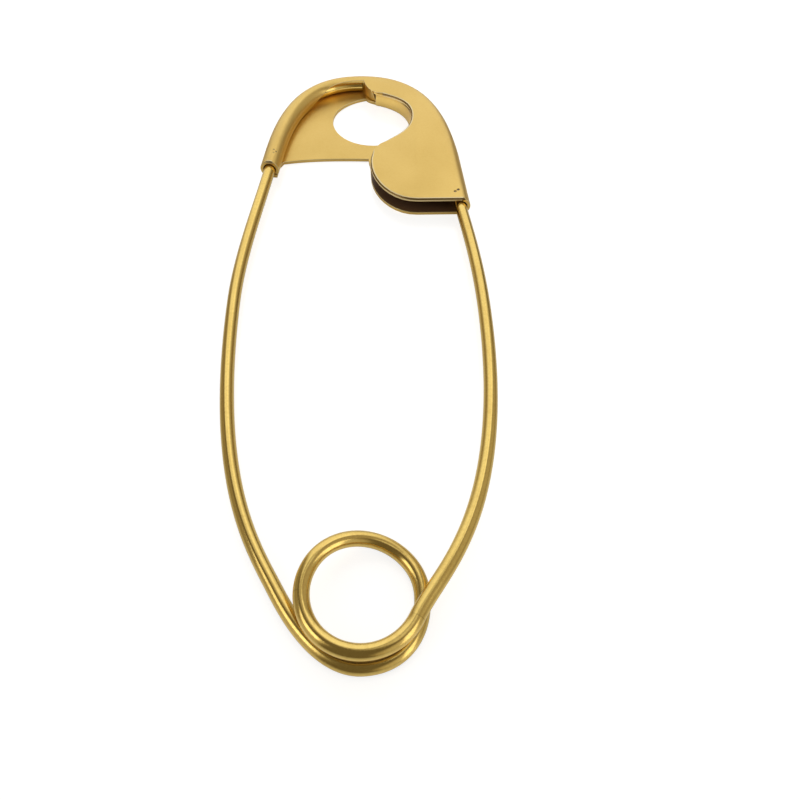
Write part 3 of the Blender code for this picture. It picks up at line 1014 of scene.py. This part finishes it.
    def tube(
        self, name: str, line: list[Vector], material: bpy.types.Material, taper: float = 0.0
    ) -> bpy.types.Object:
        """Build a round tube along a line as a mesh at the origin.

        Args:
            name: Name of the piece.
            line: Middle line, from the middle of the coil.
            material: The finish of the wire.
            taper: Length of the point at the far end, or zero.

        Returns:
            The finished piece.
        """
        deselect_all()
        bpy.ops.curve.primitive_bezier_curve_add(location=(0.0, 0.0, 0.0))
        piece = bpy.context.active_object
        piece.name = name
        curve = piece.data
        curve.splines.clear()
        spline = curve.splines.new("POLY")
        spline.points.add(len(line) - 1)
        left = sum((b - a).length for a, b in zip(line, line[1:]))
        for index, knot in enumerate(spline.points):
            knot.co = (*(line[index] + self.shift), 1.0)
            if taper:
                share = min(left / taper, 1.0)
                knot.radius = self.tip_share + (1 - self.tip_share) * math.sin(math.pi / 2 * share)
            if index + 1 < len(line):
                left -= (line[index + 1] - line[index]).length
                left = max(left, 0.0)
        curve.bevel_depth = self.radius
        curve.bevel_resolution = self.resolution
        curve.use_fill_caps = True
        make_active(piece)
        bpy.ops.object.convert(target="MESH")
        bpy.ops.object.mode_set(mode="EDIT")
        bpy.ops.mesh.select_all(action="SELECT")
        bpy.ops.mesh.remove_doubles(threshold=MERGE)
        bpy.ops.mesh.normals_make_consistent(inside=False)
        bpy.ops.object.mode_set(mode="OBJECT")
        bpy.ops.object.shade_smooth_by_angle(angle=math.radians(self.smooth_degrees))
        piece.data.materials.clear()
        piece.data.materials.append(material)
        return piece


def aim(azimuth: float, elevation: float) -> Vector:
    """Return the unit vector towards this azimuth from +X and this elevation, both in degrees."""
    flat = direction(azimuth) * math.cos(math.radians(elevation))
    return Vector((*flat, math.sin(math.radians(elevation))))


@dataclass(frozen=True)
class Glow:
    """A soft round patch of light on the walls of the room.

    Args:
        azimuth: Its direction from +X in degrees.
        elevation: Its height above the floor in degrees.
        inner: Angle from its middle up to which it is full.
        outer: Angle from its middle where it ends.
        level: Its brightness, where 1 is white.
    """

    azimuth: float
    elevation: float
    inner: float
    outer: float
    level: float


@dataclass(frozen=True)
class Panel:
    """A pale panel on the walls of the room.

    Args:
        right: Azimuth of its right edge in degrees.
        left: Azimuth of its left edge in degrees.
        low: Elevation of its lower edge in degrees.
        high: Elevation of its upper edge in degrees.
        soft: Width of its soft edges in degrees.
        level: Its brightness, where 1 is white.
    """

    right: float
    left: float
    low: float
    high: float
    soft: float
    level: float


@dataclass(frozen=True)
class Softbox:
    """A rectangular lamp that faces the pin.

    Args:
        name: Name of the lamp.
        azimuth: Its direction from +X in degrees.
        elevation: Its height above the floor in degrees.
        tilt: Its turn in its own plane in degrees.
        width: Its width.
        height: Its height.
        radiance: Its brightness, where 1 is white.
    """

    name: str
    azimuth: float
    elevation: float
    tilt: float
    width: float
    height: float
    radiance: float


@dataclass
class Studio:
    """The floor, the soft light and the camera at the photograph's angle.

    Args:
        floor_size: Side of the floor.
        floor_grey: Grey of the floor in the light of the lamps.
        floor_roughness: Roughness of the floor.
        floor_specular: Sheen of the floor.
        room_level: Brightness of the bare walls of the room, where 1 is white.
        dim_tint: Tint of the dim walls.
        warm_levels: Brightness up to which the tint is full, and where it ends.
        lamp_distance: Distance of the lamps from the pin.
        glows: Round patches of light on the walls.
        panels: Pale panels on the walls.
        softboxes: The lamps.
        backdrop_white: White of the backdrop that the camera sees.
        seen_white: White that the camera sees added to the lit floor.
        mirrored_white: White of the floor that the metal mirrors from the side.
        mirrored_depth: White added to it where the metal mirrors the floor from above.
        shadow_reach: How far the pin's shadow in the mirrored floor reaches.
        shadow_samples: Rays that look for it.
        hole_place: Middle of the floor that shows through the clasp's hole, where the pool of
            light is painted.
        painted_pool_reach: Distance from it up to which the painted pool of light is full, and
            where it ends.
        painted_pool_white: White of the pool of light painted into the mirrored floor there.
        camera_place: Place of the camera.
        yaw: Turn of the camera to the right in degrees.
        pitch: Tilt of the camera down in degrees.
        roll: Turn of the camera about its line of sight in degrees.
        sensor: Width of its sensor in millimetres.
        focal_pixels: Its focal length in pixels of the photograph.
        frame_pixels: Width of the photograph in pixels.
        nearest: Least distance that it sees.
    """

    floor_size: float = 6.0
    floor_grey: float = 0.5
    floor_roughness: float = 0.25
    floor_specular: float = 1.0
    room_level: float = 0.14
    dim_tint: tuple[float, float, float] = (1.0, 0.86, 0.62)
    warm_levels: tuple[float, float] = (0.10, 0.80)
    lamp_distance: float = 0.8
    glows: tuple[Glow, ...] = (
        Glow(10.0, 35.0, 10.0, 55.0, 0.42),
        Glow(165.0, 10.0, 20.0, 50.0, 0.27),
        Glow(-42.0, 16.0, 14.0, 50.0, 0.50),
    )
    panels: tuple[Panel, ...] = (
        Panel(50.0, 131.0, 14.0, 66.0, 24.0, 1.0),
        Panel(60.0, 131.0, -8.0, 40.0, 20.0, 0.90),
        Panel(54.0, 79.0, 38.0, 66.0, 10.0, 1.15),
        Panel(-30.0, 96.0, 68.0, 84.0, 8.0, 0.70),
        Panel(-176.0, -142.0, -10.0, 60.0, 16.0, 0.52),
    )
    softboxes: tuple[Softbox, ...] = (
        Softbox("left softbox", -161.0, 42.0, 20.0, 0.36, 0.44, 1.2),
        Softbox("right softbox", -36.0, 23.0, -18.0, 0.26, 0.70, 1.0),
    )
    backdrop_white: float = 0.90
    seen_white: float = 0.80
    mirrored_white: float = 0.04
    mirrored_depth: float = 0.55
    shadow_reach: float = 0.010
    shadow_samples: int = 4
    hole_place: Vector = field(default_factory=lambda: Vector((0.0040, 0.0800, 0.0)))
    painted_pool_reach: tuple[float, float] = (0.008, 0.020)
    painted_pool_white: float = 0.55
    camera_place: Vector = field(default_factory=lambda: Vector((0.0072, -0.1492, 0.1601)))
    yaw: float = 1.94
    pitch: float = 54.82
    roll: float = 0.23
    sensor: float = 36.0
    focal_pixels: float = 740.0
    frame_pixels: float = 800.0
    nearest: float = 0.001

    def camera(self) -> None:
        """Place the camera that matches the photograph."""
        yaw, pitch, roll = (math.radians(v) for v in (self.yaw, self.pitch, self.roll))
        ahead = Vector(
            (math.sin(yaw) * math.cos(pitch), math.cos(yaw) * math.cos(pitch), -math.sin(pitch))
        )
        right = Vector((math.cos(yaw), -math.sin(yaw), 0.0))
        up = right.cross(ahead)
        turned = right * math.cos(roll) + up * math.sin(roll)
        above = -right * math.sin(roll) + up * math.cos(roll)
        data = bpy.data.cameras.new("view")
        data.sensor_width = self.sensor
        data.lens = self.sensor * self.focal_pixels / self.frame_pixels
        data.clip_start = self.nearest
        camera = bpy.data.objects.new("view", data)
        camera.matrix_world = Matrix.Translation(self.camera_place) @ Matrix(
            (turned, above, -ahead)
        ).transposed().to_4x4()
        bpy.context.scene.collection.objects.link(camera)
        bpy.context.scene.camera = camera

    def floor(self) -> None:
        """Lay the pale floor, white to the camera apart from the shadow on it."""
        deselect_all()
        bpy.ops.mesh.primitive_plane_add(size=self.floor_size, location=(0.0, 0.0, 0.0))
        floor = bpy.context.active_object
        floor.name = "floor"
        material = bpy.data.materials.new("pale floor")
        material.use_nodes = True
        shader = material.node_tree.nodes["Principled BSDF"]
        shader.inputs["Base Color"].default_value = (*(self.floor_grey,) * 3, 1.0)
        shader.inputs["Roughness"].default_value = self.floor_roughness
        shader.inputs["Specular IOR Level"].default_value = self.floor_specular
        make = Shading(material.node_tree)
        rays = make.node("ShaderNodeLightPath")
        bounces = (rays.outputs[title] for title in ("Is Glossy Ray", "Is Transmission Ray"))
        bounced = make.math("MAXIMUM", *bounces)
        facing = make.node("ShaderNodeLayerWeight").outputs["Facing"]
        steep = make.math("MULTIPLY", make.math("SUBTRACT", 1.0, facing), self.mirrored_depth)
        # A pool of light painted into the floor round the hole's middle, seen only in the metal's
        # reflections.
        away = make.node("ShaderNodeVectorMath", operation="DISTANCE", input_1=self.hole_place)
        make.link(make.node("ShaderNodeTexCoord").outputs["Object"], away.inputs[0])
        in_painted_pool = make.math("SUBTRACT", 1.0, make.ramp(away.outputs["Value"], *self.painted_pool_reach))
        near = make.math("MULTIPLY", in_painted_pool, self.painted_pool_white)
        around = make.node("ShaderNodeAmbientOcclusion", samples=self.shadow_samples)
        around.inputs["Distance"].default_value = self.shadow_reach
        white = make.math("ADD", near, make.math("ADD", steep, self.mirrored_white))
        unshaded = make.math("MULTIPLY", bounced, around.outputs["AO"])
        mirrored = make.math("MULTIPLY", unshaded, white)
        seen = make.math("MULTIPLY", rays.outputs["Is Camera Ray"], self.seen_white)
        shader.inputs["Emission Color"].default_value = WHITE
        make.link(make.math("ADD", mirrored, seen), shader.inputs["Emission Strength"])
        floor.data.materials.append(material)

    def lobe(self, make: Shading, view: bpy.types.NodeSocket, glow: Glow) -> bpy.types.NodeSocket:
        """Add one soft round patch of light on the walls of the room.

        Args:
            make: The node tree of the world.
            view: The direction from the pin into the room.
            glow: Where the patch is, how wide and how bright.

        Returns:
            The brightness of the patch in that direction.
        """
        middle = make.node("ShaderNodeCombineXYZ")
        for socket, value in zip(middle.inputs, aim(glow.azimuth, glow.elevation)):
            socket.default_value = value
        facing = make.node("ShaderNodeVectorMath", operation="DOT_PRODUCT")
        make.link(view, facing.inputs[0])
        make.link(middle.outputs[0], facing.inputs[1])
        outer, inner = (math.cos(math.radians(angle)) for angle in (glow.outer, glow.inner))
        return make.math("MULTIPLY", make.ramp(facing.outputs["Value"], outer, inner), glow.level)

    def band(
        self, make: Shading, angle: bpy.types.NodeSocket, low: float, high: float, soft: float
    ) -> bpy.types.NodeSocket:
        """Add a mask that is full where an angle lies between two limits in degrees.

        Args:
            make: The node tree of the world.
            angle: The angle in radians.
            low: Lower limit.
            high: Upper limit.
            soft: Width of the soft edges.

        Returns:
            The mask.
        """
        half = math.radians(soft / 2)
        first, last = math.radians(low), math.radians(high)
        above = make.ramp(angle, first - half, first + half)
        return make.math("SUBTRACT", above, make.ramp(angle, last - half, last + half))

    def world(self) -> None:
        """Light the room by dim warm walls with pale panels; the camera sees a plain backdrop."""
        world = bpy.data.worlds.new("studio")
        bpy.context.scene.world = world
        world.use_nodes = True
        make = Shading(world.node_tree)
        back = world.node_tree.nodes["Background"]
        view = make.node("ShaderNodeTexCoord").outputs["Generated"]
        level = self.room_level
        for glow in self.glows:
            level = make.math("MAXIMUM", level, self.lobe(make, view, glow))
        split = make.node("ShaderNodeSeparateXYZ")
        make.link(view, split.inputs[0])
        azimuth = make.math("ARCTAN2", split.outputs[1], split.outputs[0])
        elevation = make.math("ARCSINE", split.outputs[2], 0.0)
        for panel in self.panels:
            across = self.band(make, azimuth, panel.right, panel.left, panel.soft)
            upright = self.band(make, elevation, panel.low, panel.high, panel.soft)
            mask = make.math("MULTIPLY", across, upright)
            level = make.math("MAXIMUM", level, make.math("MULTIPLY", mask, panel.level))
        tint = make.mix(make.ramp(level, *self.warm_levels), (*self.dim_tint, 1.0), WHITE)
        seen = make.node("ShaderNodeLightPath").outputs["Is Camera Ray"]
        make.link(make.mix(seen, tint, WHITE), back.inputs["Color"])
        lit = make.math("MULTIPLY", make.math("SUBTRACT", 1.0, seen), level)
        plain = make.math("MULTIPLY", seen, self.backdrop_white)
        make.link(make.math("ADD", lit, plain), back.inputs["Strength"])

    def softbox(self, box: Softbox) -> None:
        """Hang one softbox that faces the pin.

        Args:
            box: Its direction, size and brightness.
        """
        data = bpy.data.lights.new(box.name, "AREA")
        data.shape = "RECTANGLE"
        data.size = box.width
        data.size_y = box.height
        data.energy = box.radiance * math.pi * box.width * box.height
        place = aim(box.azimuth, box.elevation) * self.lamp_distance
        lamp = bpy.data.objects.new(box.name, data)
        facing = (-place).to_track_quat("-Z", "Y").to_matrix().to_4x4()
        turned = Matrix.Rotation(math.radians(box.tilt), 4, "Z")
        lamp.matrix_world = Matrix.Translation(place) @ facing @ turned
        bpy.context.scene.collection.objects.link(lamp)

    def build(self) -> None:
        """Set up the whole studio."""
        self.camera()
        self.floor()
        self.world()
        for box in self.softboxes:
            self.softbox(box)
        bpy.context.scene.view_settings.view_transform = "Standard"


def main() -> None:
    """Build every piece, place the clasp's two pieces on their body and report each."""
    logging.basicConfig(level=logging.INFO, format="%(message)s")
    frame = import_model()
    Studio().build()
    groups = Groups.build()
    sheet, drawn = SHEET_FINISH.material(groups), WIRE_FINISH.material(groups)
    clasp = Clasp().build(frame["nodes"]["clasp"], sheet)
    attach(clasp, Body.CLASP.value)
    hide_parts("clasp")
    log.info("clasp_sheet: %d faces", len(clasp.data.polygons))
    wire = Wire()
    fixed = wire.tube("fixed_arm_and_coil", wire.fixed_line(), drawn)
    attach(fixed, Body.CLASP.value)
    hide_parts("fixed_arm")
    log.info("fixed_arm_and_coil: %d faces", len(fixed.data.polygons))
    upper = wire.tube("coil_upper_turn", wire.upper_line(), drawn)
    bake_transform(upper)
    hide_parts("spring_coil")
    log.info("coil_upper_turn: %d faces", len(upper.data.polygons))
    line = wire.pin_line()
    pin = wire.tube("pin_arm_wire", line, drawn, wire.taper)
    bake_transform(pin)
    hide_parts("pin_arm")
    log.info("pin_arm_wire: %d faces", len(pin.data.polygons))


if __name__ == "__main__":
    main()
